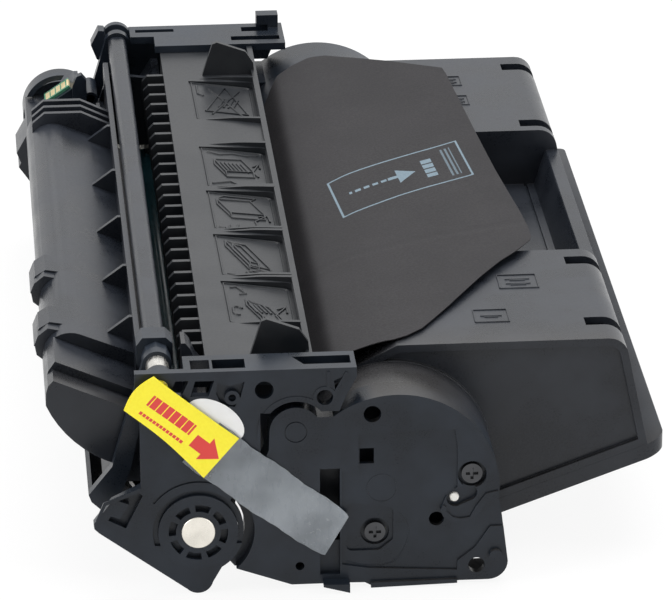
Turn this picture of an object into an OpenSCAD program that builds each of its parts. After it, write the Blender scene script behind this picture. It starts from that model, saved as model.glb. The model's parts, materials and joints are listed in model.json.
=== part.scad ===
// Toner cartridge for a desktop laser printer: drum unit on the left, toner hopper on the right.
// Profiles are drawn in the X-Z plane with the drum axis as their zero, and run along Y.

/* [Length] */
// Distance between the outer faces of the two side plates
frame_len = 310; // [290:1:330]
// Thickness of each side plate
plate_t = 3; // [2:0.5:4]
// Inset of the waste hopper's near face from the near plate
hopper_inset = 22; // [20:1:26]
// Length of the hopper extension that carries the handle
ext_len = 250; // [200:1:254]
// Inset of the extension's near wall from the near plate
ext_inset = 25; // [22:1:28]

/* [Drum] */
// Radius of the photoconductor drum
drum_r = 12; // [11:0.5:13]
// Wall of the drum tube
drum_wall = 1; // [0.8:0.1:1.5]
// Radius of the steel drum axle
axle_r = 4.9; // [4:0.1:5.2]
// Radius of the spoked bush flange round the axle
bush_r = 11.6; // [11:0.1:12]
// Teeth on the drum gear
drum_teeth = 26; // [24:2:30]
// Running clearance between a shaft and its bore
run_gap = 0.05; // [0.03:0.01:0.08]
// Air gap between two rollers that face each other
roller_gap = 0.3; // [0.2:0.05:0.4]

/* [Rollers] */
// Radius of the developer sleeve
sleeve_r = 9; // [8:0.5:9.5]
// Teeth on the developer gear
sleeve_teeth = 16; // [15:1:18]
// Radius of the charge roller's rubber
charge_r = 6; // [5:0.5:6.5]
// Radius of the charge roller's steel core
charge_core_r = 3; // [2:0.5:3.5]
// Radius of the agitator shaft
stir_r = 3; // [2.5:0.5:4]
// Teeth on the idler gear
idler_teeth = 16; // [15:1:18]
// Teeth on the agitator gear
stir_teeth = 28; // [26:1:30]
// Width of the gears
gear_w = 9.5; // [8:0.5:10]

/* [Shutter] */
// Distance of the shutter rod left of the drum axis
rod_left = 10.5; // [10:0.5:12]
// Height of the shutter rod over the drum axis
rod_up = 45.5; // [45:0.5:47]
// Radius of the steel shutter rod
rod_r = 2.4; // [2:0.1:2.8]
// Radius of the bright sleeve on the rod's near end
journal_r = 3.3; // [3:0.1:3.5]
// Width of the long bar round the rod
bar_w = 6; // [5.6:0.2:6.4]
// Thickness of the shutter plate
shutter_t = 1.4; // [1:0.1:2]
// Thickness of each shutter arm
arm_t = 3.6; // [3:0.2:4]

/* [Waste hopper] */
// Radius of the hopper's underside round the shutter rod
belly_r = 35; // [34:0.5:36]
// Wall of the waste hopper
waste_wall = 2; // [1.6:0.2:2.4]
// Width of the waste hopper left of the drum axis
waste_left = 42.6; // [42:0.2:44]
// Number of gussets along the ridge
gussets = 5; // [3:1:6]

/* [Comb cover] */
// Height of the cover's top over the drum axis
cover_top = 46; // [45:0.5:47]
// Number of guide fins
fins = 26; // [20:1:28]
// Thickness of a fin
fin_t = 1.8; // [1.4:0.2:2.4]
// Depth of the sunken panels
panel_deep = 2.2; // [1.6:0.1:2.4]

/* [Toner hopper] */
// Radius of the toner chamber outside
tank_r = 30; // [29:0.5:31]
// Wall of the toner hopper
tank_wall = 2.2; // [1.8:0.2:2.6]
// Height of the extension's top over the drum axis
ext_top = 46; // [44:0.5:48]
// Reach of the extension's wall right of the drum axis
ext_right = 128; // [124:1:132]
// Outward lean of the extension's right wall
ext_lean = 6; // [4:0.5:8]
// Rise of the extension's floor in degrees
floor_rise = 20; // [16:1:22]
// Width of the weld flange outside the right wall
flange_out = 5.2; // [4:0.2:6]
// Thickness of the weld flange
flange_t = 4.8; // [4:0.2:6]
// Length of the handle recess along the hopper
grip_len = 106; // [90:1:120]
// Reach of the recess left of the extension's wall
grip_deep = 27; // [22:1:32]

/* [End caps] */
// Depth of the near end cap
cap_deep = 10; // [8:1:12]
// Depth of the far end cap
far_cap_deep = 22; // [21:1:23]
// Radius of the hinge lobe
lobe_r = 7.6; // [7:0.2:8.4]
// Radius of the hinge pins
hinge_r = 2.5; // [2:0.25:3]
// Radius of a screw head
screw_head_r = 3.05; // [2.6:0.05:3.4]
// Radius of a screw's shank
screw_r = 1.4; // [1.2:0.1:1.6]

/* [Hidden] */
$fn = 48;
black = [0.13, 0.14, 0.15];
grey = [0.3, 0.3, 0.31];
steel = [0.75, 0.75, 0.74];

foot_low = 19.4;
tab_top = 57.5;
drum_slot_r = 16.3;
ring_r = 13.2;
axle_face = 0.8;
label_out = 1.2;
nose_out = 6;
clip_out = 2.6;
knee_out = 3.4;

near_y = 0;
far_y = frame_len;
hop_y0 = hopper_inset;
hop_y1 = far_y - hopper_inset - 2;
tank_y0 = cap_deep;
tank_y1 = far_y - far_cap_deep;
ext_y0 = ext_inset;
ext_y1 = ext_inset + ext_len;
gear_y0 = tank_y1 + 1.5;
gear_y1 = gear_y0 + gear_w;
rail_y = cap_deep + 2.4;
ear_y0 = tank_y1 - 2.6;
lip_t = 0.25;
arm_y0 = hop_y0 - arm_t - 1.4;
far_arm_y0 = gear_y1 + 1;

rod = [-rod_left, rod_up];
tank = [57.5, 11];
hinge = [28.4, 30.4];
lobe_gap = 2;
near_out = 4;
corner_r = 6;
band_y = 31;

dev_dir = 10;
dev_dist = drum_r + sleeve_r + roller_gap;
dev = dev_dist * [cos(dev_dir), sin(dev_dir)];
gear_mod = 2 * dev_dist / (drum_teeth + sleeve_teeth);
charge_dir = 140;
charge = (drum_r + charge_r + roller_gap) * [cos(charge_dir), sin(charge_dir)];
sleeve_pitch = gear_mod * sleeve_teeth / 2;
idler_pitch = gear_mod * idler_teeth / 2;
stir_pitch = gear_mod * stir_teeth / 2;
span = norm(tank - dev);
side_a = sleeve_pitch + idler_pitch;
side_b = idler_pitch + stir_pitch;
bearing = atan2(tank[1] - dev[1], tank[0] - dev[0]);
bend = acos((side_a * side_a + span * span - side_b * side_b) / (2 * side_a * span));
seal_x = 33.4;
plug = [66, 22];
cap_screws = [[51.3, -2.3], [79.5, 15.2]];
far_screws = [[48, -12.4], [80.5, 15.2]];
idler = dev + side_a * [cos(bearing - bend), sin(bearing - bend)];
drum_phase = 0;
dev_phase = mesh_phase([0, 0], drum_phase, drum_teeth, dev, sleeve_teeth);
idler_phase = mesh_phase(dev, dev_phase, sleeve_teeth, idler, idler_teeth);
stir_phase = mesh_phase(idler, idler_phase, idler_teeth, tank, stir_teeth);

flange_left = 90;
flange_up = -4;
flange_right = ext_right + ext_lean + flange_out;
flange_top = flange_up + (flange_right - flange_left) * tan(floor_rise);
wall_foot = flange_up + (ext_right + ext_lean - flange_left) * tan(floor_rise);
grip_y0 = (ext_y0 + ext_y1 - grip_len) / 2;
grip_y1 = grip_y0 + grip_len;
grip_x1 = ext_right - 4;
bar_top = ext_top - 7;
grip_x0 = ext_right - grip_deep;
grip_floor = ext_top - 18.5;

low_x = -waste_left - knee_out;
clips = [58, 100];
locator = [19.4, 43.8];
small_boss = [10.2, 41.7];
ring_boss = [36.8, 41];
mid_x = (low_x + flange_right) / 2;
mid_y = (-near_out + far_y + nose_out) / 2;

function mesh_phase(a, phase_a, teeth_a, b, teeth_b) =
    let (line = atan2(b[1] - a[1], b[0] - a[0]))
    line + 180 + 180 / teeth_b + (line - phase_a) * teeth_a / teeth_b;
function arc(c, r, a0, a1, n) = [for (i = [0:n]) c + r * [cos(a0 + (a1 - a0) * i / n), sin(a0 + (a1 - a0) * i / n)]];
function turned(p, c, a) = c + [(p[0] - c[0]) * cos(a) - (p[1] - c[1]) * sin(a),
    (p[0] - c[0]) * sin(a) + (p[1] - c[1]) * cos(a)];

module place() translate([-mid_x, -mid_y, foot_low]) children();
// Runs an X-Z profile along Y from y0 to y1
module along(y0, y1) translate([0, y1, 0]) rotate([90, 0, 0]) linear_extrude(y1 - y0) children();
module rod_y(c, r, y0, y1) translate([c[0], y1, c[1]]) rotate([90, 0, 0]) cylinder(r = r, h = y1 - y0);
module block(x0, x1, y0, y1, z0, z1) translate([x0, y0, z0]) cube([x1 - x0, y1 - y0, z1 - z0]);

// Spur gear with straight-sided teeth, a little thin so that a pair runs free
module gear_2d(teeth, phase) {
    pitch = gear_mod * teeth / 2;
    step = 360 / teeth;
    tip = pitch + gear_mod * 0.9;
    root = pitch - gear_mod * 1.15;
    polygon([for (i = [0:teeth - 1], p = [[root, -0.26], [pitch, -0.185], [tip, -0.08], [tip, 0.08], [pitch, 0.185], [root, 0.26]])
        p[0] * [cos(phase + (i + p[1]) * step), sin(phase + (i + p[1]) * step)]]);
}

// Side plates of the drum unit

module ear_2d() {
    translate(hinge) circle(r = 4.4);
    polygon([hinge + [-4.4, 0], [hinge[0] - 4.4, cover_top - 4], [hinge[0] + 4.4, cover_top - 4], hinge + [4.4, 0]]);
}

module foot_2d(r) {
    circle(r = r);
    polygon([[-16.4, 14.8], [-24.8, 10.6], [-30.2, 3.6], [-30, 2], [-28.6, 0.6], [-3.6, -17.9], [-0.2, -foot_low + 0.4],
        [3.3, -17.4], [8.4, -8.4], [r * cos(20), r * sin(20)], [0, r]]);
    translate([-0.2, -foot_low + 4.4]) circle(r = 4.4);
}

// J-shaped pocket of the near plate, with a thin web at its back
j_slot = [[-22.9, 10.6], [-16.9, 12.9], [-15.9, 12], [-20.9, 1.9], [-26, 4.6], [-25.2, 5.9], [-22.6, 4.9], [-19.9, 9.4]];

module near_plate_2d() {
    difference() {
        union() {
            foot_2d(ring_r);
            polygon([[-16.4, 13], [-16.4, 42.5], [-17.7, 44], [-17.7, rod_up + 4.5], [46, rod_up + 4.5], [46, 47], [43, 41.4],
                [41, 36.6], [18.2, 36.6], [18.2, 25], [9, 9]]);
        }
        translate(hinge) circle(r = lobe_r + lobe_gap);
        circle(r = bush_r + run_gap);
        translate(rod) circle(r = rod_r + run_gap);
        polygon(j_slot);
        // Windows under the rail
        polygon([[-6, 47.4], [-2.2, 47.4], [-4.4, 42.6], [-8, 42.8]]);
        polygon([[-0.4, 47.2], [5.1, 47.2], [3.4, 42.4], [-1.8, 42.5]]);
        translate(small_boss) circle(r = 1.1);
        translate(locator) circle(r = 2.7);
        translate(ring_boss) circle(r = 2.35);
        polygon([[39.4, 46], [42.7, 47.6], [41.5, 44.2], [39.8, 43.4]]);
    }
}

module near_side_plate() color(black) place() {
    difference() {
        union() {
            along(near_y, near_y + plate_t) near_plate_2d();
            along(near_y + plate_t - 0.8, near_y + plate_t) offset(delta = 0.5) polygon(j_slot);
            // Top rail, the wall behind it and the ear that holds the hinge pin
            block(-3.5, 46, plate_t, rail_y, cover_top + 0.5, rod_up + 4.5);
            block(-3.5, 46, cap_deep + 0.4, rail_y, cover_top - 5, rod_up + 4.5);
            along(cap_deep + 0.4, rail_y) ear_2d();
            // Lip round the hinge lobe
            along(-lip_t, near_y) difference() {
                intersection() {
                    translate(hinge) circle(r = lobe_r + lobe_gap + 1.6);
                    polygon([[10, 24], [18.2, 25], [18.2, 36.6], [34, 36.6], [34, 50], [10, 50]]);
                }
                translate(hinge) circle(r = lobe_r + lobe_gap);
            }
            rod_y(rod, 4.2, plate_t, 7.4);
            along(-0.6, near_y) polygon([[-29.6, 5], [-27.2, 10.4], [-23.6, 11.8], [-16.4, 14.7], [-16.4, 13.8], [-23.2, 10.9],
                [-26.5, 9.6], [-28.8, 4.7]]);
            along(-lip_t, near_y) difference() {
                union() {
                    translate(ring_boss) circle(r = 3.4);
                    polygon([ring_boss + [0.6, 3], ring_boss + [1.5, 3], [38.3, 49], [37.4, 49]]);
                    polygon([ring_boss + [2.6, 1.6], ring_boss + [3.2, 0.8], [43.6, 48.4], [42.8, 48.9]]);
                }
                translate(ring_boss) circle(r = 2.35);
            }
        }
        // Pockets in the rail
        for (x = [[-1.5, 4], [4.8, 14.2]]) block(x[0], x[1], 2.4, 9, cover_top - 2, rod_up + 5);
        translate([0, 0, cover_top + 1.2]) linear_extrude(4) polygon([[31, 3.6], [44.6, 3.6], [44.6, 9.4], [28, 9.4]]);
        rod_y(hinge, hinge_r, 0, rail_y + 1);
        rod_y(rod, rod_r + run_gap, 0, 8);
        // Recess under the rail with the small boss left standing in it
        along(-1, 1.6) difference() {
            polygon([[6, 46.4], [9.5, 45.4], [13.8, 46.6], [12.6, 41.9], [10.9, 38.9], [7, 39.6], [5.6, 43.1]]);
            translate(small_boss) circle(r = 2.2);
        }
        // Well round the drum bush
        along(-1, 1) intersection() {
            difference() {
                circle(r = ring_r);
                circle(r = bush_r);
            }
            polygon([[-20, -4], [20, -4], [20, 20], [-20, 20]]);
        }
        along(-1, 0.5) difference() {
            intersection() {
                circle(r = 16.2);
                polygon([[-13, 9.6], [-13, 20], [13, 20], [8, 8], [0, 0]]);
            }
            circle(r = 15.6);
        }
    }
}

module far_side_plate() color(black) place() {
    difference() {
        union() {
            along(far_y - plate_t, far_y) difference() {
                union() {
                    foot_2d(ring_r);
                    polygon([[-16.4, 13], [-16.4, 40], [-6, rod_up + 3], [46, rod_up + 3], [46, 47], [43, 41.4], [41, 36.6],
                        [18.2, 36.6], [18.2, 25], [9, 9]]);
                    translate(rod) circle(r = 5);
                }
                translate(hinge) circle(r = lobe_r + lobe_gap);
                translate(rod) circle(r = rod_r + run_gap);
                circle(r = 7 + run_gap);
            }
            block(-6, 46, far_y - 21, far_y - plate_t, cover_top, rod_up + 3);
            // Ear that holds the hinge pin, hung under the rail
            block(hinge[0] - 4.4, hinge[0] + 4.4, ear_y0, far_y - 18, cover_top - 6.4, cover_top - 4.4);
            block(hinge[0] - 4.4, hinge[0] + 4.4, far_y - 20.8, far_y - 18, cover_top - 6, cover_top + 1);
            along(ear_y0, ear_y0 + 2) ear_2d();
            block(37.2, 44.6, far_y - 5, far_y, rod_up + 3, rod_up + 7.5);
            along(far_y - 6, far_y) polygon([[-16.6, 49.4], [-14.6, 49.2], [-12.6, 41], [-13.9, 37], [-17.3, 39.2], [-19.2, 44.2]]);
        }
        block(-4, 9, far_y - 6.5, far_y - plate_t - 0.6, cover_top - 1, rod_up + 4);
        block(32, 41, far_y - 8, far_y - plate_t - 0.6, cover_top - 1, rod_up + 4);
        block(28, 44.4, far_y - 17, far_y - 13, cover_top - 1, rod_up + 4);
        block(-7, 2, far_y - 22, far_y - 11, cover_top - 1, rod_up + 4);
        rod_y(hinge, hinge_r, ear_y0 - 1, far_y - 15);
    }
}

// Waste hopper, with the ridge, its gussets, the clips and the far fences

dome = [-30.4, 25.4];
waste_under = concat(arc(rod, belly_r, 203, 250, 8), [[-26.6, 8.2], [-19.6, 2.4], [-18.7, 3.5], [-21.6, 8], [-21.6, 18.4],
    [-17, 22.6], [-14.2, 28]]);
under_inside = concat(arc(rod, belly_r, 203, 250, 8), [[-21.6, 18.4], [-17, 22.6]]);
shell_y0 = 50;
shell_y1 = hop_y1 - 42;
shell_top = concat([[-14.2, 35.3]], arc([-waste_left + 8, 35], 8, 68, 172, 10));
band_top = [[-14.2, 30.9], [-39.6, 41.9], [-41.6, 39], [-waste_left, 35.6]];
ledge_top = [[-14.2, 28.2], [-40.4, 39.6], [-42, 37.8], [-waste_left, 35.6]];
far_top = [[-14.2, 30.6], [-24, 33.4], [-38, 33.4], [-42.2, 32.8]];

module waste_run(top, y0, y1) along(y0, y1) polygon(concat(top, waste_under));
module waste_room(top, y0, y1) along(y0, y1) offset(delta = -waste_wall) polygon(concat(top, under_inside));

module waste_hopper() color(grey) place() {
    difference() {
        union() {
            // Ledge, band, shell and low end, from near to far
            waste_run(ledge_top, hop_y0, band_y);
            waste_run(band_top, band_y, shell_y0);
            waste_run(shell_top, shell_y0, shell_y1);
            waste_run(far_top, shell_y1, hop_y1);
            along(38.5, hop_y1) polygon([[-14.2, 44.2], [-15.8, 44.2], [-15.8, 28], [-14.2, 28]]);
            // Bulkheads that join the hopper to the side plates
            for (y = [[hop_y0, hop_y0 + 2.2], [hop_y1 - 2.2, hop_y1]])
                along(y[0], y[1]) polygon([[-21.6, 20], [-21.6, 7], [-12, 7], [-8, 15.2], [3.4, 15.2], [3.4, 38.5], [-14.2, 40.6]]);
            for (y = [[near_y + plate_t, hop_y0], [hop_y1, far_y - plate_t]])
                along(y[0], y[1]) polygon([[-4, 16.4], [3.4, 16.4], [3.4, 38], [1, 38], [-4, 30]]);
            // Upright beside the rod's holder
            along(hop_y0, hop_y0 + 9) polygon([[-3.2, 36], [3.4, 36], [3.4, 41.4], [1.2, 44], [-0.6, 48.2], [-2, 50], [-3.2, 50]]);
            // Clips on the left edge
            for (y = clips) {
                along(y, y + 13) polygon([[-33.4, 42.2], [-40.4, 43.4], [-43.6, 41.4], [-45.2, 37.6], [-44.4, 33], [-42, 31], [-41, 38],
                    [-36, 41]]);
                along(y - 4, y + 13) polygon([[-36.4, 42], [-41, 43], [-44, 40.6], [-45.2, 37.6], [-42, 35], [-39, 38.6]]);
            }
        }
        waste_room(ledge_top, hop_y0 + waste_wall, band_y + waste_wall + 1);
        waste_room(band_top, band_y + waste_wall, shell_y0 + waste_wall + 1);
        waste_room(shell_top, shell_y0 + waste_wall, shell_y1 - waste_wall);
        waste_room(far_top, shell_y1 - waste_wall - 1, hop_y1 - waste_wall);
    }
    // Gussets against the ridge
    for (i = [0:gussets - 1]) {
        y = shell_y0 + 9 + i * (shell_y1 - shell_y0 - 28.6) / (gussets - 1);
        along(y, y + 1.8) polygon([[-15.6, 43.8], [-16.8, 43.8], [-23.8, 38.7], [-15.6, 35.5]]);
    }
    // Fences across the far end
    for (y = [shell_y1 - 13, shell_y1 - 7, shell_y1 - 1])
        along(y, y + 2) polygon([[-15.8, 42], [-25, 46.4], [-37, 46.4], [-41, 43], [-41, 30], [-15.8, 30]]);
    // Knees on the left at the far end
    along(shell_y1 + 10, shell_y1 + 28) polygon([[-38, 32], [-42.4, 31], [low_x, 24.5], [-44.6, 21], [-45.4, 19.5], [-42, 14.6],
        [-41, 16], [-41, 28]]);
    // Deck ribs between the ridge and the end housing
    for (x = [-24, -19]) block(x, x + 1.2, shell_y1, hop_y1 - 18, 30, 36.4);
}

// Cover with the guide comb and the sunken panels

module comb_cover() color(grey) place() {
    y0 = rail_y;
    y1 = far_y - 21;
    panels = [[47, 81], [85, 120], [124, 158], [161, 198], [223, 261]];
    difference() {
        union() {
            along(y0, y1) polygon([[3.6, 34], [5.6, 34], [5.6, cover_top - 2.5], [14, cover_top - 2.5], [32.8, cover_top - 3.8], [32.8, 39], [34.6, 39],
                [34.6, cover_top + 1.6], [32.8, cover_top + 1.6], [32.8, cover_top], [3.6, cover_top]]);
        }
        intersection() {
            for (p = panels) translate([0, p[0], cover_top - 6]) linear_extrude(9)
                polygon([[12.6, 0], [32.7, -4], [32.7, p[1] - p[0] - 5], [31, p[1] - p[0] - 4], [11.6, p[1] - p[0] - 1], [11.8, 0.6]]);
            along(0, far_y) polygon([[8, cover_top - 0.2], [33, cover_top - panel_deep], [33, cover_top + 3], [8, cover_top + 3]]);
        }
    }
    for (i = [0:fins - 1]) {
        y = 33 + i * (y1 - 54) / (fins - 1);
        along(y, y + fin_t) polygon([[3.7, 34.4], [-1, 34.4], [-3.5, 36.6], [-3.5, cover_top - 2.6], [-1.8, cover_top - 0.8],
            [3.7, cover_top - 0.8]]);
    }
    // Fences between the panels
    intersection() {
        for (p = panels) for (y = [p[0] - 1.6, p[1] + 0.2]) translate([0, y, cover_top - 1]) linear_extrude(4)
            polygon([[14, 0.8], [14, 1.4], [24, 0.4], [33, -2.6], [33, -4.2], [24, -1]]);
        along(0, far_y) polygon([[12, cover_top - 0.6], [33, cover_top - 0.6], [33, cover_top + 1.7], [28, cover_top + 1.3], [15, cover_top]]);
    }
    // Standing tabs at both ends
    for (y = [20, y1 - 24]) along(y, y + 1.8)
        polygon([[16.4, cover_top - 0.5], [20, tab_top - 0.6], [21.5, tab_top], [31, cover_top + 8], [33.6, cover_top + 4],
            [34, cover_top - 0.5]]);
}

// Housing at the far end of the waste hopper, with the memory chip

module chip_housing() color(black) place() {
    // Round rim that closes the far end
    difference() {
        along(hop_y1, hop_y1 + 13) union() {
            translate(dome) circle(r = 12.6);
            polygon([[-42.5, 26], [-41, 16], [-36, 8], [-26, 8], [-20, 16], [-18.2, 26]]);
        }
        along(hop_y1 + 2, hop_y1 + 14) translate(dome) circle(r = 10.6);
    }
    // Hood over the chip, open to the near side
    along(hop_y1 - 3, hop_y1) difference() {
        translate(dome + [0, 3.4]) circle(r = 12.4);
        translate(dome + [0, 3.4]) circle(r = 10.6);
        polygon([[-60, -10], [-60, 33.8], [-34, 33.8], [-16, 60], [0, 60], [0, -10]]);
    }
    // Slanted seat for the chip, with its two posts
    along(hop_y1 - 14, hop_y1) polygon([[-36, 33.8], [-24, 33.8], [-24.4, 41.6], [-25.6, 41.6], [-27, 40], [-36, 34]]);
    along(hop_y1 - 17, hop_y1 - 14) polygon([[-26.6, 33.8], [-22, 33.8], [-22, 44], [-23.6, 46], [-25.2, 45.4], [-26.6, 42]]);
    // Small tube beside the chip
    difference() {
        rod_y([-20.6, 36.4], 2.4, hop_y1 - 14, hop_y1 + 1);
        rod_y([-20.6, 36.4], 1.5, hop_y1 - 15, hop_y1 - 4);
    }
}

module chip_board() color([0.2, 0.5, 0.35]) place()
    along(hop_y1 - 12, hop_y1 - 4) polygon([[-35.4, 34.4], [-27.3, 39.9], [-27.8, 40.6], [-35.9, 35.1]]);

// Drum shutter, turning on the long rod

module shutter_rod() color(steel) place() rod_y(rod, rod_r, near_y, far_y - 0.4);

module rod_sleeve() color(steel) place() difference() {
    rod_y(rod, journal_r, 7.6, arm_y0);
    rod_y(rod, rod_r, 7, arm_y0 + 1);
}

module shutter_bar() color(grey) place() difference() {
    along(arm_y0 + 20, far_arm_y0) translate(rod) {
        intersection() {
            circle(r = bar_w / 2 + 0.35);
            translate([-bar_w / 2, -bar_w / 2]) square(bar_w);
        }
    }
    rod_y(rod, rod_r, 0, far_y);
}

module arm_2d() {
    difference() {
        union() {
            translate(rod) circle(r = 4.3);
            polygon([rod + [-4.3, 0], [-19.5, 30], [-24, 14], [-31, 5.2], [-28.6, 2.6], [-25.5, 1.9], [-21.6, 4.8], [-18.4, 14],
                [-15, 30], rod + [3.6, -2.4]]);
        }
        translate(rod) circle(r = rod_r);
    }
}

module drum_shutter() color(black) place() {
    for (y = [arm_y0, far_arm_y0]) along(y, y + arm_t) arm_2d();
    // Sleeve next to the near arm, with the chamfered block on it
    difference() {
        union() {
            along(arm_y0 + arm_t, arm_y0 + 20) translate(rod) circle(r = 4.3, $fn = 8);
            along(hop_y0 + 2.8, hop_y0 + 11) translate(rod) polygon([[-5.6, -2.8], [-3.4, -5], [3, -5], [5, -3], [5, 3.4], [3, 5.4],
                [-3.8, 5.4], [-5.6, 3]]);
        }
        rod_y(rod, rod_r, arm_y0, arm_y0 + 21);
    }
    // Plate along the drum's underside
    along(arm_y0, far_y - 24.6) polygon([[-31, 5.2], [-30.2, 3], [-27.4, 0.35], [-4, -16.95], [-2.6, -17.9], [3.4, -17.9],
        [3.6, -16.6], [-2.2, -16.5], [-4.67, -14.7], [-25.6, 0.76], [-27.6, 3.4], [-29.8, 6]]);
    along(far_y - 26, far_arm_y0 + arm_t) polygon([[-11, -11.76], [-4, -16.95], [-2.6, -17.9], [3.4, -17.9], [3.6, -16.6],
        [-2.2, -16.5], [-4.67, -14.7], [-11, -10.05]]);
    along(far_arm_y0, far_arm_y0 + arm_t) polygon([[-31, 5.2], [-30.2, 3], [-27.4, 0.35], [-4, -16.95], [-4.67, -14.7],
        [-25.6, 0.76], [-27.6, 3.4], [-29.8, 6]]);
}

// Drum and what it turns on

module drum_axle() color(steel) place() {
    rod_y([0, 0], axle_r, -axle_face, 30);
}

module drum_bush() color(black) place() difference() {
    union() {
        rod_y([0, 0], bush_r, -0.4, plate_t);
        rod_y([0, 0], axle_r + 1.6, plate_t, 12);
    }
    rod_y([0, 0], axle_r, -2, 13);
    for (i = [0:7]) rotate([0, 45 * i + 10, 0]) along(-2, 1.8) intersection() {
        difference() {
            circle(r = 8.6);
            circle(r = 6.5);
        }
        polygon([[0, 0], [12 * cos(-16), 12 * sin(-16)], [12 * cos(16), 12 * sin(16)]]);
    }
}

module drum_tube() color([0.16, 0.36, 0.42]) place() difference() {
    rod_y([0, 0], drum_r, 27, gear_y0 - 0.5);
    rod_y([0, 0], drum_r - drum_wall, 26, gear_y0);
}

module drum_hub() color(black) place() difference() {
    union() {
        rod_y([0, 0], drum_r - drum_wall, 27, 38);
        rod_y([0, 0], drum_r + 0.4, 24.5, 27);
    }
    rod_y([0, 0], axle_r + run_gap, 20, 40);
}

module drum_gear() color([0.85, 0.85, 0.83]) place() {
    along(gear_y0, gear_y1) gear_2d(drum_teeth, drum_phase);
    rod_y([0, 0], drum_r - drum_wall, gear_y0 - 10, gear_y0);
    rod_y([0, 0], 7, gear_y1, far_y);
    // Three-sided drive nose
    along(far_y, far_y + nose_out) circle(r = 6, $fn = 3);
}

// Charge roller and wiper

module charge_core() color(steel) place() rod_y(charge, charge_core_r, hop_y0 + 3, hop_y1 - 3);

module charge_rubber() color(black) place() difference() {
    rod_y(charge, charge_r, hop_y0 + 10, hop_y1 - 10);
    rod_y(charge, charge_core_r, 0, far_y);
}

module charge_bearing(y0) difference() {
    along(y0, y0 + 5) translate(charge) translate([-3.8, -3.8]) square(7.6);
    rod_y(charge, charge_core_r + run_gap, y0 - 1, y0 + 6);
}
module charge_bearing_near() color([0.85, 0.85, 0.83]) place() charge_bearing(hop_y0 + 2.2);
module charge_bearing_far() color([0.85, 0.85, 0.83]) place() charge_bearing(hop_y1 - 7.2);

module wiper_bracket() color(steel) place() along(hop_y0 + 6, hop_y1 - 6)
    polygon([[-18.6, 3.6], [-14.6, -2], [-13.8, -1.4], [-17.8, 4.1], [-20.2, 7.9], [-21, 7.4]]);
module wiper_rubber() color([0.5, 0.3, 0.2]) place() along(hop_y0 + 8, hop_y1 - 8)
    polygon([[-14.6, -2], [-12.3, -4.3], [-11.95, -3.3], [-13.8, -1.4]]);

module hinge_pin_near() color(steel) place() rod_y(hinge, hinge_r, 1.2, rail_y);
module hinge_pin_far() color(steel) place() rod_y(hinge, hinge_r, ear_y0, far_y - 1.2);

// Toner hopper

ext_outline = concat(
    [[60, ext_top], [ext_right - 6, ext_top]], arc([ext_right - 6, ext_top - 6], 6, 90, 12, 6),
    [[ext_right + ext_lean, wall_foot], [flange_left - 4, flange_up - 1.5], [60, 0], [48, 40]]);

module tank_2d(d) {
    translate(tank) circle(r = tank_r - d, $fn = 96);
}
module neck_2d() {
    polygon([[38, 32], [20.6, 17.6], [22.2, 15.7], [39, 27]]);
    polygon([[41, -14.6], [26.7, -17.8], [16.4, -11.6], [16.8, -9.6], [26.9, -15.4], [38, -10]]);
}
module below_2d() polygon([[0, -40], [0, flange_up], [flange_left, flange_up], [160, flange_up + (160 - flange_left) * tan(floor_rise)],
    [160, -40]]);

module hopper_outer() {
    along(tank_y0, tank_y1) {
        tank_2d(0);
        neck_2d();
    }
    along(ext_y0, ext_y1) polygon(ext_outline);
}

module hopper_hollow() {
    difference() {
        union() {
            along(tank_y0 + tank_wall, tank_y1 - tank_wall) difference() {
                tank_2d(tank_wall);
                polygon([[20, -20], [seal_x + 2.6, -20], [seal_x + 2.6, 40], [20, 40]]);
            }
            along(ext_y0 + tank_wall, ext_y1 - tank_wall) offset(delta = -tank_wall) polygon(ext_outline);
        }
        block(grip_x0 - tank_wall, ext_right + 20, grip_y0 - tank_wall, grip_y1 + tank_wall, grip_floor - tank_wall, ext_top + 2);
    }
    // Developer chamber and the window that the seal closes
    along(tank_y0 + tank_wall, tank_y1 - tank_wall) {
        polygon([[0, -9], [seal_x, -9], [seal_x, 22], [22.4, 13.8], [0, 13.8]]);
        polygon([[30, -3.8], [40, -3.8], [40, 10], [30, 10]]);
    }
    rod_y(dev, 3 + run_gap, 0, far_y);
    rod_y(tank, stir_r + run_gap, tank_y1 - 5, far_y);
    rod_y(tank, stir_r + run_gap, tank_y0 + 1, tank_y0 + 5);
    rod_y(idler, 2 + run_gap, tank_y1 - 1.4, far_y);
    rod_y(plug, 6, tank_y0 - 1, tank_y0 + 5);
}

// Recess for the fingers, with a bar left along its outer side and a fine line in its floor
module grip_cut() along(grip_y0, grip_y1) {
    polygon([[grip_x0, grip_floor], [grip_x1 - 3.3, grip_floor], [grip_x1, bar_top - 0.6], [grip_x1 + 0.6, bar_top],
        [ext_right + 9, bar_top], [ext_right + 9, ext_top + 5], [grip_x0, ext_top + 5]]);
    translate([grip_x1 - 6.6, grip_floor - 0.8]) square([0.9, 2]);
}

module hopper_cover() color(grey) place() difference() {
    hopper_outer();
    hopper_hollow();
    grip_cut();
    along(-1, far_y) below_2d();
    // Slots over the right edge
    for (y = [ext_y0 + 11, grip_y0 - 12, grip_y1 + 4, ext_y1 - 13])
        block(ext_right - 11.4, ext_right + 3, y, y + 6, ext_top - 7, ext_top + 1);
    // Sunken near wall inside its rim
    along(ext_y0 - 1, ext_y0 + 1.5) difference() {
        offset(delta = -2.4) polygon(ext_outline);
        tank_2d(-0.2);
    }
}

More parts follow.
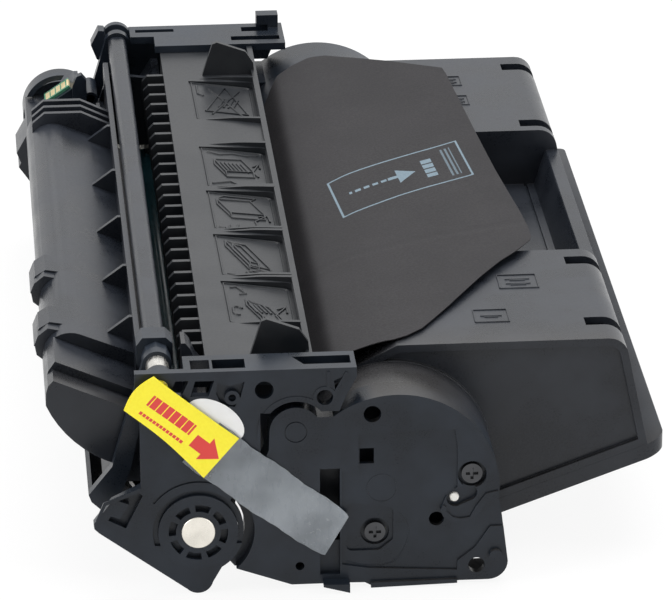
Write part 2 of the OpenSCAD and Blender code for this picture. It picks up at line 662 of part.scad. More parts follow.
module hopper_tub() color(black) place() {
    difference() {
        union() {
            intersection() {
                hopper_outer();
                along(-1, far_y) below_2d();
            }
            along(ext_y0, ext_y1) polygon([[78, flange_up], [flange_left, flange_up], [flange_right, flange_top],
                [flange_right, flange_top - flange_t], [flange_left, flange_up - flange_t], [78, flange_up - flange_t]]);
        }
        hopper_hollow();
        // Round corners of the flange
        for (c = [[ext_y0, 1], [ext_y1, -1]]) translate([flange_right, c[0], -foot_low]) linear_extrude(70)
            difference() {
                translate([-corner_r, c[1] > 0 ? -1 : -corner_r]) square([corner_r + 1, corner_r + 1]);
                translate([-corner_r, c[1] * corner_r]) circle(r = corner_r);
            }
    }
}

// End caps of the toner hopper

module cap_2d() difference() {
    union() {
        translate(tank) circle(r = tank_r, $fn = 96);
        translate(hinge) circle(r = lobe_r);
        polygon(concat([[9.6, -11.6], [27, -17.8], [43.5, -17.8], [48.3, -17.9], [51, -foot_low], [62, -foot_low],
            [76, -foot_low + 1.1]], arc([84.4, -12.6], 5.7, -90, 0, 8), [[88.3, 1.8], [86.8, 10.9], [70, 34.8], [33, 34.8],
            hinge - [lobe_r, 0], [20.6, 25], [14.6, 9], [9.6, -9]]));
    }
    circle(r = drum_slot_r);
}

module near_end_cap() color(black) place() {
    difference() {
        along(near_y, cap_deep) cap_2d();
        along(near_y + 2.6, cap_deep + 1) difference() {
            offset(delta = -2.2) cap_2d();
            translate(hinge) circle(r = lobe_r);
            translate(dev) circle(r = 6);
            for (c = cap_screws) translate(c) circle(r = 6.4);
        }
        for (c = cap_screws) {
            rod_y(c, 4.2, -1, 2.6);
            rod_y(c, screw_r, 0, cap_deep + 1);
        }
        rod_y(hinge, hinge_r + run_gap, 1, cap_deep + 1);
        rod_y(dev, 3 + run_gap, 3, cap_deep + 1);
        rod_y(dev, 1.5, 2, 4);
        along(-1, 4) {
            translate([50.5, 35.2]) circle(r = 2.55);
            translate([69.2, 1.3]) circle(r = 2.2);
            translate([74.4, 7.9]) circle(r = 1.45);
            translate([80.9, -13.6]) circle(r = 2.4);
            translate([46.8, 19.5]) square([4.2, 4.8]);
            translate([35.3, -15]) square([5.8, 33.5]);
            translate([29.4, -12]) circle(r = 1.3);
        }
        // Sunken field, the pocket round the lower screw and the dish by the upper one
        along(-1, 0.7) difference() {
            polygon([[46.5, 17.4], [46.5, 29], [60, 29.4], [74.4, 29.6], [75.2, 24], [75.2, 11.4], [71.8, 8.4], [70.4, 5], [72, 2],
                [75.4, 0.6], [79.5, 0.2], [82, 3.5], [84.2, 6.6], [92, 8], [92, -1.6], [84.8, -1.4], [80.5, -7.9], [75.4, -12],
                [75.2, -14.9], [49.8, -13.4], [41.7, -12], [41.7, 17.4]]);
        }
        along(-1, 1.5) hull() for (c = [[44.6, 5.4], [55, 4], [55, -4], [52, -6.4], [44.6, -6.4]]) translate(c) circle(r = 1.6);
        along(-1, 1.5) hull() for (c = [[74.6, 7.9], [78.4, 9.6]]) translate(c) circle(r = 2.6);
        along(-1, 0.35) for (c = [[53.3, 11.6, 4.3], [hinge[0], hinge[1], 3.3]]) translate([c[0], c[1]]) difference() {
            circle(r = c[2]);
            circle(r = c[2] - 0.3);
        }
    }
    // Wall that curls round the dish, the foot under the slot and the locating peg
    along(-0.6, near_y) polygon([[71, 6], [70.2, 4.6], [71, 2.4], [73.4, 0.6], [76, 0.2], [79.6, 0.6], [82.2, 4.4], [84.4, 7.4],
        [87.4, 8.4], [87, 10], [83.4, 9.2], [80.6, 5.4], [78.8, 2], [76, 1.6], [73.8, 2.2], [72, 4], [72, 5.4]]);
    along(-near_out, near_y) polygon([[36, -17.2], [43.7, -foot_low + 0.1], [43.7, -16.6], [36, -16.4]]);
    rod_y([86.4, -10.4], 1.9, -1.4, near_y);
    along(plate_t + 1, cap_deep) intersection() {
        difference() {
            circle(r = drum_slot_r + 0.6);
            circle(r = ring_r + 0.4);
        }
        polygon([[0, 0], [22, 16.5], [24, 11], [24, -11], [11.5, -14]]);
    }
    // Web behind the foot of the tall slot
    block(34.2, 42.2, 2.2, 3.6, -16.4, -5);
    along(-1.2, near_y) polygon([[50, -foot_low + 0.2], [75.2, -foot_low + 0.8], [75.2, -foot_low + 2], [50, -foot_low + 1.8]]);
}

module far_end_cap() color(black) place() difference() {
    along(tank_y1, far_y) cap_2d();
    along(tank_y1 - 1, far_y - 2.6) difference() {
        offset(delta = -2.2) cap_2d();
        translate(hinge) circle(r = lobe_r);
        for (c = far_screws) translate(c) circle(r = 3.4);
    }
    along(tank_y1 - 1, far_y - 2.6) {
        circle(r = drum_slot_r + 2.5);
        translate(dev) circle(r = sleeve_pitch + 1.5);
    }
    rod_y(hinge, hinge_r + run_gap, 0, far_y - 1);
    rod_y(dev, 3 + run_gap, 0, far_y + 1);
    rod_y(idler, 2 + run_gap, far_y - 5, far_y - 1);
    rod_y(tank, stir_r + run_gap, far_y - 5, far_y - 1);
    for (c = far_screws) rod_y(c, screw_r, far_y - 8, far_y + 1);
}

module screw(c, y, way) translate([c[0], y, c[1]]) rotate([90 * way, 0, 0]) {
    difference() {
        cylinder(r = screw_head_r, h = 1.8);
        translate([0, 0, 1.8]) cube([0.9, 3.6, 2], center = true);
        translate([0, 0, 1.8]) cube([3.6, 0.9, 2], center = true);
    }
    translate([0, 0, -7]) cylinder(r = screw_r, h = 7);
}
module near_cap_screws() color(steel) place() for (c = cap_screws) screw(c, 2.6, 1);
module far_cap_screws() color(steel) place() for (c = far_screws) screw(c, far_y, -1);

// Developer, doctor blade and agitator

module developer_sleeve() color([0.35, 0.35, 0.36]) place() difference() {
    union() {
        rod_y(dev, sleeve_r, tank_y0 + 18, tank_y1 - 4);
        rod_y(dev, 3, 4, far_y - 0.5);
    }
    rod_y(dev, sleeve_r - 1, tank_y0 + 20, tank_y1 - 6);
    rod_y(dev, 1.5 + run_gap, 3, tank_y0 + 24);
}
module magnet_core() color([0.2, 0.2, 0.2]) place() {
    rod_y(dev, sleeve_r - 1.6, tank_y0 + 21, tank_y1 - 7);
    rod_y(dev, 1.5, 2.2, tank_y0 + 21);
}
module developer_gear() color([0.85, 0.85, 0.83]) place() difference() {
    along(gear_y0, gear_y1) translate(dev) gear_2d(sleeve_teeth, dev_phase);
    rod_y(dev, 3, 0, far_y);
}
module doctor_bracket() color(steel) place() along(tank_y0 + 10, tank_y1 - 6)
    polygon([[20.5, 17.5], [16.9, 14.5], [18.2, 13], [22.1, 15.6]]);
module doctor_blade() color([0.6, 0.5, 0.3]) place() along(tank_y0 + 14, tank_y1 - 10)
    polygon([[16.9, 14.5], [18.2, 13], [17.4, 12.4], [16.3, 13.6]]);

module agitator_shaft() color(black) place() {
    rod_y(tank, stir_r, tank_y0 + 1.2, far_y - 1.2);
    along(tank_y0 + 12, tank_y1 - 14) translate(tank) translate([-1, 2]) square([2, 4]);
}
module agitator_film() color([0.7, 0.7, 0.6]) place() along(tank_y0 + 14, tank_y1 - 16)
    translate(tank) translate([1, 2.9]) square([0.4, 16.5]);
module agitator_gear() color([0.85, 0.85, 0.83]) place() difference() {
    along(gear_y0, gear_y1) translate(tank) gear_2d(stir_teeth, stir_phase);
    rod_y(tank, stir_r, 0, far_y);
}
module idler_gear() color([0.85, 0.85, 0.83]) place() {
    along(gear_y0, gear_y1) translate(idler) gear_2d(idler_teeth, idler_phase);
    rod_y(idler, 2, tank_y1 - 1.2, far_y - 1.2);
}

module fill_plug() color(black) place() difference() {
    rod_y(plug, 6, tank_y0 - 4, tank_y0 + tank_wall);
    rod_y(plug, 4.5, tank_y0 - 5, tank_y0);
}

// Seal, label, sticker and the protective sheet

module seal_strip() color([0.6, 0.62, 0.64]) place() along(tank_y0 + 4, tank_y1 - 4)
    polygon([[seal_x - 0.5, -5.5], [seal_x - 0.1, -5.5], [seal_x - 0.1, 11.5], [seal_x - 0.5, 11.5]]);
module seal_tail() color([0.6, 0.62, 0.64]) place() along(-0.7, -0.35)
    polygon([[-4.5, 23], [12.2, 30.6], [43.9, 4.4], [36.6, -8.8], [35.2, -8], [2, 18.6]]);
module pull_label() color([1, 0.95, 0.2]) place() along(-label_out, -0.7)
    polygon([[-12.3, 50], [-24.3, 40.2], [2, 18.6], [11.8, 29.2]]);
module round_sticker() color("white") place() along(-0.2, 0)
    intersection() {
        translate([4, 33.4]) circle(r = 9.4);
        polygon([[-5, 24], [18, 24], [18, 41], [-5, 41]]);
    }

module light_sheet() color([0.2, 0.19, 0.19]) place() intersection() {
    along(0, far_y) polygon([[36.4, 36.4], [40, 42.4], [47, 44.8], [56, 46.6], [62, ext_top + 0.8], [112, ext_top + 0.8],
        [112, ext_top + 0.3], [62, ext_top + 0.3], [56, 46.1], [47, 44.3], [40.4, 42], [36.8, 36.2]]);
    translate([0, 0, 30]) linear_extrude(30)
        polygon([[36, 256], [42, 270], [53, 279], [60, 279], [96.6, 260], [101, 201], [107.7, 122], [108.2, 101.4], [103.7, 94.2],
            [89, 71.6], [68, 35.2], [59, 27.5], [46, 24], [36, 24]]);
}

near_side_plate();
far_side_plate();
waste_hopper();
comb_cover();
chip_housing();
chip_board();
shutter_rod();
rod_sleeve();
shutter_bar();
drum_shutter();
drum_axle();
drum_bush();
drum_tube();
drum_hub();
drum_gear();
charge_core();
charge_rubber();
charge_bearing_near();
charge_bearing_far();
wiper_bracket();
wiper_rubber();
hinge_pin_near();
hinge_pin_far();
hopper_cover();
hopper_tub();
near_end_cap();
far_end_cap();
near_cap_screws();
far_cap_screws();
developer_sleeve();
magnet_core();
developer_gear();
doctor_blade();
doctor_bracket();
agitator_shaft();
agitator_film();
agitator_gear();
idler_gear();
fill_plug();
seal_strip();
seal_tail();
pull_label();
round_sticker();
light_sheet();
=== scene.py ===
"""Toner cartridge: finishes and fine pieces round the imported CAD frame."""

import json
from math import atan2, cos, pi, radians, sin, sqrt

import bmesh
import bpy
from mathutils import Matrix, Vector

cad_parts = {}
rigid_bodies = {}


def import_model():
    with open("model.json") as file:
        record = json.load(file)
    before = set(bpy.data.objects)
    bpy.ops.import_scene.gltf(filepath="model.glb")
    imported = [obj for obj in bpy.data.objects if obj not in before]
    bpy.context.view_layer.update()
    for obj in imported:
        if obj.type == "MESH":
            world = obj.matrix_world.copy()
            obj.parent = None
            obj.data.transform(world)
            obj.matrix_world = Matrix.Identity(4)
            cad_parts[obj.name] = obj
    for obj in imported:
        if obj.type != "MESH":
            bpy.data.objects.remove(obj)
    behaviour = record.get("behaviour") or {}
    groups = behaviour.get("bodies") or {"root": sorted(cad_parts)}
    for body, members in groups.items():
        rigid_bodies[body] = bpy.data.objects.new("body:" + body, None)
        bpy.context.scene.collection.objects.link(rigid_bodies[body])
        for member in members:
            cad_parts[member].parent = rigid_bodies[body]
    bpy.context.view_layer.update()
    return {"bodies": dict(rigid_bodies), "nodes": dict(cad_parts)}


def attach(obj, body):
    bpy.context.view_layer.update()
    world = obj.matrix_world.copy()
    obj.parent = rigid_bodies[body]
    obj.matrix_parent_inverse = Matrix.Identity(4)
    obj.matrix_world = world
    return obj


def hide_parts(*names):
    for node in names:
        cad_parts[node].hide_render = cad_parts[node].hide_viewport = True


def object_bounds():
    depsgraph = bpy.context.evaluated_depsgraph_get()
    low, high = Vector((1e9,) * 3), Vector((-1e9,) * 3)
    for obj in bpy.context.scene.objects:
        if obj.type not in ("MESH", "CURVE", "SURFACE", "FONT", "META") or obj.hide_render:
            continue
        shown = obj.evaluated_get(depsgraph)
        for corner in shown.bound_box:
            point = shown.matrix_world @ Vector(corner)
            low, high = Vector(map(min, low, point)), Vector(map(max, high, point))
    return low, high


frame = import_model()
NODES = frame["nodes"]
MM = 0.001

# The cartridge's own drawing frame: drum axis at its near end, millimetres
SHIFT = (-46.6, -156.0, 19.4)


def at(x, y, z):
    return Vector(((x + SHIFT[0]) * MM, (y + SHIFT[1]) * MM, (z + SHIFT[2]) * MM))


# Camera


def make_camera():
    data = bpy.data.cameras.new("camera")
    camera = bpy.data.objects.new("camera", data)
    bpy.context.scene.collection.objects.link(camera)
    right = Vector((0.99680, -0.07985, -0.00224))
    up = Vector((0.03190, 0.37220, 0.92761))
    back = -Vector((0.07323, 0.92471, -0.37355))
    turn = Matrix((right, up, back)).transposed().to_4x4()
    camera.matrix_world = Matrix.Translation(at(-68.30, -1368.42, 623.73)) @ turn
    data.sensor_width = 36
    data.lens = 5200 / 672 * 36
    data.clip_end = 20
    bpy.context.scene.camera = camera


make_camera()

# Materials


class Socket:
    """A value in a material's node tree, joined to others with ordinary arithmetic."""

    def __init__(self, material, output):
        self.material = material
        self.output = output

    def math(self, operation, other=None, third=None):
        return self.material.math(operation, self, other, third)

    def __add__(self, other):
        return self.math("ADD", other)

    def __sub__(self, other):
        return self.math("SUBTRACT", other)

    def __rsub__(self, other):
        return self.material.math("SUBTRACT", other, self)

    def __mul__(self, other):
        return self.math("MULTIPLY", other)

    def __truediv__(self, other):
        return self.math("DIVIDE", other)

    def over(self, limit):
        return self.math("GREATER_THAN", limit)

    def under(self, limit):
        return self.math("LESS_THAN", limit)

    def abs(self):
        return self.math("ABSOLUTE")

    def smaller(self, other):
        return self.math("MINIMUM", other)

    def larger(self, other):
        return self.math("MAXIMUM", other)

    def ramp(self, low, high, a=0.0, b=1.0):
        node = self.material.node("ShaderNodeMapRange")
        self.material.join(self, node.inputs["Value"])
        node.interpolation_type = "SMOOTHSTEP"
        for name, value in (("From Min", low), ("From Max", high), ("To Min", a), ("To Max", b)):
            node.inputs[name].default_value = value
        return Socket(self.material, node.outputs["Result"])


class Finish:
    """One procedural material on a Principled shader."""

    def __init__(self, name, colour, rough=0.5, metal=0.0, **sockets):
        self.data = bpy.data.materials.new(name)
        self.data.use_nodes = True
        self.tree = self.data.node_tree
        self.shader = next(n for n in self.tree.nodes if n.type == "BSDF_PRINCIPLED")
        self.shader.inputs["Base Color"].default_value = (*colour, 1)
        self.shader.inputs["Roughness"].default_value = rough
        self.shader.inputs["Metallic"].default_value = metal
        for key, value in sockets.items():
            self.shader.inputs[key.replace("_", " ")].default_value = value
        self.data.diffuse_color = (*colour, 1)
        self.place = None

    def node(self, kind):
        return self.tree.nodes.new(kind)

    def join(self, value, socket):
        if isinstance(value, Socket):
            self.tree.links.new(value.output, socket)
        elif isinstance(value, (tuple, list)):
            socket.default_value = (*value[:3], 1) if len(socket.default_value) == 4 else value
        else:
            socket.default_value = value

    def math(self, operation, a, b=None, c=None):
        node = self.node("ShaderNodeMath")
        node.operation = operation
        for value, socket in zip((a, b, c), node.inputs):
            if value is not None:
                self.join(value, socket)
        return Socket(self, node.outputs[0])

    def where(self):
        """Object coordinates in millimetres from the drum axis: x, y, z sockets."""
        if self.place is None:
            coordinates = self.node("ShaderNodeTexCoord")
            mapping = self.node("ShaderNodeMapping")
            self.tree.links.new(coordinates.outputs["Object"], mapping.inputs["Vector"])
            mapping.inputs["Location"].default_value = [-v for v in SHIFT]
            mapping.inputs["Scale"].default_value = (1000, 1000, 1000)
            self.place = Socket(self, mapping.outputs["Vector"])
        split = self.node("ShaderNodeSeparateXYZ")
        self.join(self.place, split.inputs[0])
        return [Socket(self, split.outputs[i]) for i in range(3)]

    def noise(self, scale, detail=3.0, rough=0.55, stretch=None, warp=0.0):
        """Noise on the object's place; scale is in features a millimetre."""
        self.where()
        source = self.place
        if stretch:
            squeeze = self.node("ShaderNodeMapping")
            self.join(source, squeeze.inputs["Vector"])
            squeeze.inputs["Scale"].default_value = stretch
            source = Socket(self, squeeze.outputs["Vector"])
        node = self.node("ShaderNodeTexNoise")
        self.join(source, node.inputs["Vector"])
        node.inputs["Scale"].default_value = scale
        node.inputs["Detail"].default_value = detail
        node.inputs["Roughness"].default_value = rough
        node.inputs["Distortion"].default_value = warp
        return Socket(self, node.outputs["Fac"])

    def cells(self, scale, feature="F1"):
        self.where()
        node = self.node("ShaderNodeTexVoronoi")
        node.feature = feature
        self.join(self.place, node.inputs["Vector"])
        node.inputs["Scale"].default_value = scale
        return Socket(self, node.outputs["Distance"])

    def mix(self, factor, a, b):
        node = self.node("ShaderNodeMix")
        node.data_type = "RGBA"
        self.join(factor, node.inputs["Factor"])
        self.join(a, node.inputs[6])
        self.join(b, node.inputs[7])
        return Socket(self, node.outputs[2])

    def set(self, name, value):
        self.join(value, self.shader.inputs[name])

    def bump(self, height, distance, strength=1.0):
        """height is 0 to 1, distance is in millimetres."""
        node = self.node("ShaderNodeBump")
        node.inputs["Strength"].default_value = strength
        node.inputs["Distance"].default_value = distance * MM
        self.join(height, node.inputs["Height"])
        self.tree.links.new(node.outputs[0], self.shader.inputs["Normal"])

    def facing(self):
        """How far the surface looks up: the Z of its normal."""
        geometry = self.node("ShaderNodeNewGeometry")
        split = self.node("ShaderNodeSeparateXYZ")
        self.tree.links.new(geometry.outputs["Normal"], split.inputs[0])
        return Socket(self, split.outputs[2])


def moulded(name, colour, rough, grain=0.02, tint=None, mottle=0.25, gloss=0.5, painted_warm_reflection=0.0, painted_reflection_from_x=-60):
    """Black moulded plastic: fine spark-eroded grain, faint mottling and dust, and optionally a painted brownish
    reflection on near up-facing bands.
    """
    finish = Finish(name, colour, rough, Specular_IOR_Level=gloss)
    cloud = finish.noise(0.045, 4, 0.6)
    fine = finish.noise(1.6, 3, 0.7)
    lighter = tuple(min(1, c * (1 + mottle)) for c in (tint or colour))
    darker = tuple(c * (1 - mottle) for c in colour)
    shade = finish.mix(cloud.ramp(0.3, 0.7), darker, lighter)
    if painted_warm_reflection:
        # Painted warm reflection: a brownish sheen painted into the colour where the near bands face upwards
        x, y, _ = finish.where()
        painted_reflection_mask = y.ramp(44, 14) * finish.facing().ramp(0.35, 0.95) * x.ramp(painted_reflection_from_x, painted_reflection_from_x + 4)
        shade = finish.mix(painted_reflection_mask * painted_warm_reflection, shade, (0.075, 0.062, 0.045))
    finish.set("Base Color", shade)
    finish.set("Roughness", cloud.ramp(0.25, 0.75, rough - 0.05, rough + 0.06) + fine.ramp(0.3, 0.7, -0.04, 0.04))
    finish.bump(fine, grain)
    return finish


def turned(name, colour, rough, metal=1.0):
    """Turned or drawn metal with fine rings and a little staining."""
    finish = Finish(name, colour, rough, metal)
    rings = finish.noise(2.2, 3, 0.6, (1, 0.15, 1))
    stain = finish.noise(0.12, 3)
    finish.set("Base Color", finish.mix(stain.ramp(0.35, 0.75), colour, tuple(c * 0.8 for c in colour)))
    finish.set("Roughness", rings.ramp(0.3, 0.7, rough - 0.06, rough + 0.08))
    finish.bump(rings, 0.006)
    return finish


# end_plastic and body_plastic carry a painted warm reflection on their near up-facing bands
end_plastic = moulded("end_plastic", (0.0086, 0.0122, 0.0185), 0.32, 0.008, tint=(0.0112, 0.0154, 0.0225), gloss=0.3, painted_warm_reflection=0.25, painted_reflection_from_x=48)
body_plastic = moulded("body_plastic", (0.0100, 0.0126, 0.0180), 0.31, 0.009, tint=(0.0136, 0.0160, 0.0212), gloss=0.36, painted_warm_reflection=0.18)
cover_plastic = moulded("cover_plastic", (0.0098, 0.0120, 0.0156), 0.36, 0.014, tint=(0.0152, 0.0164, 0.0184), gloss=0.36)
deep_plastic = moulded("deep_plastic", (0.016, 0.016, 0.018), 0.5, 0.02)
shaft_steel = turned("shaft_steel", (0.72, 0.70, 0.66), 0.28)
pin_steel = turned("pin_steel", (0.86, 0.82, 0.74), 0.32)
plated_steel = turned("plated_steel", (0.62, 0.62, 0.60), 0.35)
dark_screw = turned("dark_screw", (0.075, 0.076, 0.08), 0.2)
nylon = moulded("nylon", (0.74, 0.73, 0.68), 0.4, 0.01, mottle=0.04)
soft_rubber = moulded("soft_rubber", (0.03, 0.03, 0.032), 0.62, 0.01)
urethane = moulded("urethane", (0.42, 0.26, 0.12), 0.45, 0.004, mottle=0.08)
clear_film = moulded("clear_film", (0.45, 0.45, 0.40), 0.25, 0.002, mottle=0.05)
# Dark photoconductor colour, darkened further as painted shade where the drum shows in the laser slot
coated_drum = moulded("coated_drum", (0.004, 0.016, 0.020), 0.16, 0.001, mottle=0.06, gloss=0.3)
blasted_sleeve = moulded("blasted_sleeve", (0.10, 0.10, 0.105), 0.42, 0.012, mottle=0.1)
sticker_paper = moulded("sticker_paper", (0.80, 0.80, 0.79), 0.4, 0.004, mottle=0.02)


def chip_finish():
    """Green board with a row of gold contact pads."""
    finish = Finish("chip_green", (0.04, 0.16, 0.09), 0.35)
    x, y, z = finish.where()
    along = (x + 35.6) * 0.827 + (z - 34.7) * 0.562
    speck = finish.noise(1.5, 3)
    across = (y - 278.0).abs()
    pads = (along * 0.47).math("FRACT").over(0.22) * across.under(2.9) * along.over(0.5)
    board = finish.mix(speck.ramp(0.3, 0.7), (0.035, 0.14, 0.08), (0.06, 0.22, 0.13))
    finish.set("Base Color", finish.mix(pads, board, (0.80, 0.66, 0.38)))
    finish.set("Metallic", pads * 0.6)
    finish.bump(pads, 0.05)
    return finish


chip_green = chip_finish()

FINISHES = {
    end_plastic: "near_side_plate far_side_plate near_end_cap far_end_cap drum_bush drum_shutter chip_housing",
    body_plastic: "waste_hopper shutter_bar hopper_cover hopper_tub",
    cover_plastic: "comb_cover",
    deep_plastic: "drum_hub agitator_shaft magnet_core fill_plug",
    shaft_steel: "shutter_rod rod_sleeve charge_core hinge_pin_near hinge_pin_far",
    pin_steel: "drum_axle",
    plated_steel: "wiper_bracket doctor_bracket",
    dark_screw: "near_cap_screws far_cap_screws",
    nylon: "drum_gear charge_bearing_near charge_bearing_far developer_gear agitator_gear idler_gear",
    soft_rubber: "charge_rubber light_sheet",
    urethane: "wiper_rubber doctor_blade pull_label",
    clear_film: "agitator_film seal_strip seal_tail",
    coated_drum: "drum_tube",
    blasted_sleeve: "developer_sleeve",
    sticker_paper: "round_sticker",
    chip_green: "chip_board",
}
for finish, names in FINISHES.items():
    for name in names.split():
        node = NODES[name]
        node.data.materials.clear()
        node.data.materials.append(finish.data)


# Working with pieces


def select_only(piece):
    if bpy.context.mode != "OBJECT":
        bpy.ops.object.mode_set(mode="OBJECT")
    bpy.ops.object.select_all(action="DESELECT")
    piece.hide_set(False)
    piece.select_set(True)
    bpy.context.view_layer.objects.active = piece


def body_of(name):
    return next(body for body, empty in frame["bodies"].items() if empty == NODES[name].parent)


def apply_modifier(piece, kind, **values):
    select_only(piece)
    modifier = piece.modifiers.new(kind.title(), kind)
    for key, value in values.items():
        setattr(modifier, key, value)
    bpy.ops.object.modifier_apply(modifier=modifier.name)


def softened(name, width=0.35, limit=32, segments=2):
    """A copy of a CAD node whose sharp edges have a small round, as moulded plastic does."""
    node = NODES[name]
    select_only(node)
    bpy.ops.object.duplicate()
    piece = bpy.context.object
    for key in list(piece.keys()):
        del piece[key]
    piece.name = name + "_rounded"
    bpy.ops.object.mode_set(mode="EDIT")
    bpy.ops.mesh.select_all(action="SELECT")
    bpy.ops.mesh.remove_doubles(threshold=0.000004)
    bpy.ops.mesh.dissolve_limited(angle_limit=radians(0.4))
    bpy.ops.object.mode_set(mode="OBJECT")
    apply_modifier(
        piece, "BEVEL", width=width * MM, segments=segments, limit_method="ANGLE", angle_limit=radians(limit),
        use_clamp_overlap=True, harden_normals=False, miter_outer="MITER_ARC" if segments > 2 else "MITER_SHARP",
    )
    select_only(piece)
    bpy.ops.object.shade_smooth_by_angle(angle=radians(40))
    apply_modifier(piece, "WEIGHTED_NORMAL", keep_sharp=True, weight=80)
    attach(piece, body_of(name))
    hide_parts(name)
    return piece


def place_on(piece, finish, *names):
    """Gives a new piece its finish and lets it stand for CAD nodes."""
    piece.data.materials.clear()
    piece.data.materials.append(finish.data)
    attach(piece, body_of(names[0]))
    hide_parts(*names)
    return piece


SOFT_EDGES = {
    0.2: "near_side_plate near_end_cap near_cap_screws far_cap_screws",
    0.3: "far_side_plate drum_bush chip_housing drum_hub",
    0.4: "far_end_cap comb_cover waste_hopper drum_shutter shutter_bar rod_sleeve drum_axle",
    0.8: "hopper_cover hopper_tub",
}
for width, names in SOFT_EDGES.items():
    for name in names.split():
        softened(name, width)


# Sheets: the label, the sealing tape, the sticker and the loose protective sheet


def mix(a, b, t):
    return a + (b - a) * t


def sheet_piece(name, across, along, shape, thickness):
    """A grid added flat, laid on shape(s, t) in drawing millimetres and given its thickness."""
    bpy.ops.object.select_all(action="DESELECT")
    bpy.ops.mesh.primitive_grid_add(x_subdivisions=across, y_subdivisions=along, size=1, location=(0.5, 0.5, 0))
    piece = bpy.context.object
    bpy.ops.object.transform_apply(location=True, rotation=True, scale=True)
    piece.name = name
    for vertex in piece.data.vertices:
        vertex.co = at(*shape(min(max(vertex.co.x, 0), 1), min(max(vertex.co.y, 0), 1)))
    apply_modifier(piece, "SOLIDIFY", thickness=thickness * MM, offset=0)
    select_only(piece)
    bpy.ops.object.mode_set(mode="EDIT")
    bpy.ops.mesh.select_all(action="SELECT")
    bpy.ops.mesh.normals_make_consistent(inside=False)
    bpy.ops.object.mode_set(mode="OBJECT")
    bpy.ops.object.shade_smooth_by_angle(angle=radians(40))
    return piece


def lined(finish, along, across):
    """Places on a sheet in the X-Z plane: millimetres along it and across it from a corner."""
    (x0, z0), (x1, z1) = along
    length = sqrt((x1 - x0) ** 2 + (z1 - z0) ** 2)
    ux, uz = (x1 - x0) / length, (z1 - z0) / length
    x, _, z = finish.where()
    u = (x - x0) * ux + (z - z0) * uz
    v = (x - x0) * uz * -across + (z - z0) * ux * across
    return u, v


def box_mask(u, v, u0, u1, v0, v1):
    """1 inside the rectangle, 0 outside it."""
    return u.over(u0) * u.under(u1) * v.over(v0) * v.under(v1)


LABEL_TOP = ((-12.3, 50.3), (12.0, 29.4))
LABEL_WIDE = 15.8


def label_shape(s, t):
    """The label's top edge stands a little off the plate, and its middle sags."""
    (x0, z0), (x1, z1) = LABEL_TOP
    length = sqrt((x1 - x0) ** 2 + (z1 - z0) ** 2)
    ux, uz = (x1 - x0) / length, (z1 - z0) / length
    wide = mix(13.4, LABEL_WIDE, s)
    bow = sin(pi * t) * (1 - s) ** 3
    x = mix(x0, x1, s) + uz * wide * t - 1.1 * bow
    z = mix(z0, z1, s) - ux * wide * t - 0.5 * sin(pi * s) * (1 - 3 * t) + 1.0 * bow
    y = -0.85 - 1.8 * (1 - s) ** 2 - 0.15 * sin(3 * pi * s)
    return x, y, z


label_yellow = Finish("label_yellow", (0.93, 0.80, 0.012), 0.34)
u, v = lined(label_yellow, LABEL_TOP, -1)
speck = label_yellow.noise(1.2, 3)
arrow = box_mask(u, v, 22.0, 26.6, 6.4, 10.6)
point = (u.over(26.4) * ((v - 8.5).abs() * 1.25 + u).under(31.6)).smaller(1.0)
bars = box_mask(u, v, 4.0, 20.0, 4.4, 8.2)
thin_bars = box_mask(u, v, 4.0, 20.0, 10.6, 11.6)
gaps = ((u * 0.42).math("FRACT")).over(0.12)
thin_gaps = ((u * 0.8).math("FRACT")).over(0.2)
red = arrow.larger(point).larger(bars * gaps).larger(thin_bars * thin_gaps)
paper = label_yellow.mix(speck.ramp(0.3, 0.7), (0.93, 0.80, 0.010), (0.96, 0.84, 0.02))
label_yellow.set("Base Color", label_yellow.mix(red, paper, (0.70, 0.035, 0.03)))
label_yellow.bump(speck, 0.01)
pull_label = sheet_piece("pull_label_sheet", 40, 12, label_shape, 0.22)
place_on(pull_label, label_yellow, "pull_label")

TAPE_TOP = ((-2.2, 30.6), (44.2, 4.6))


def tape_shape(s, t):
    """Clear tape from under the label to its loose end, which turns a little outwards."""
    upper = (mix(6.5, 43.9, s), mix(34.3, 4.3, s) - 1.6 * sin(pi * s) * 0.3)
    lower = (mix(-4.4, 36.2, s), mix(22.6, -8.6, s) - 1.2 * sin(pi * s))
    # Torn side edges, and rounded corners at the loose end
    edge = 0.2 * sin(17 * s) + 0.07 * sin(61 * s + 2)
    t = t + (edge * (2 * t - 1) - 0.6 * (2 * t - 1) * max(0, (s - 0.955) / 0.045) ** 3) / 15
    x = mix(upper[0], lower[0], t)
    z = mix(upper[1], lower[1], t)
    curl = max(0, s - 0.84) / 0.16
    y = -0.42 - 0.28 * sin(2.6 * pi * s + 1.5 * t) - 1.3 * curl ** 2 * (0.35 + 0.65 * t)
    return x, y, z


tape_grey = Finish("tape_grey", (0.20, 0.225, 0.245), 0.3, Alpha=0.9)
cloud = tape_grey.noise(0.07, 3, 0.5)
streak = tape_grey.noise(0.5, 3, 0.6, (1, 1, 0.35))
u, v = lined(tape_grey, TAPE_TOP, -1)
tint = tape_grey.mix(cloud.ramp(0.3, 0.72), (0.185, 0.205, 0.226), (0.262, 0.286, 0.312))
flecks = tape_grey.noise(0.9, 3, 0.6).ramp(0.62, 0.7) * u.ramp(30, 52) * 0.7
tape_grey.set("Base Color", tape_grey.mix(flecks, tint, (0.42, 0.45, 0.47)))
tape_grey.set("Roughness", streak.ramp(0.3, 0.7, 0.22, 0.42))
tape_grey.set("Alpha", cloud.ramp(0.2, 0.7, 0.80, 0.95) - u.ramp(24, 12) * 0.3)
tape_grey.bump(cloud.ramp(0.3, 0.7), 0.12)
seal_tape = sheet_piece("seal_tape_sheet", 60, 16, tape_shape, 0.1)
place_on(seal_tape, tape_grey, "seal_tail")


# Loose protective sheet over the drum opening, laid on the hopper

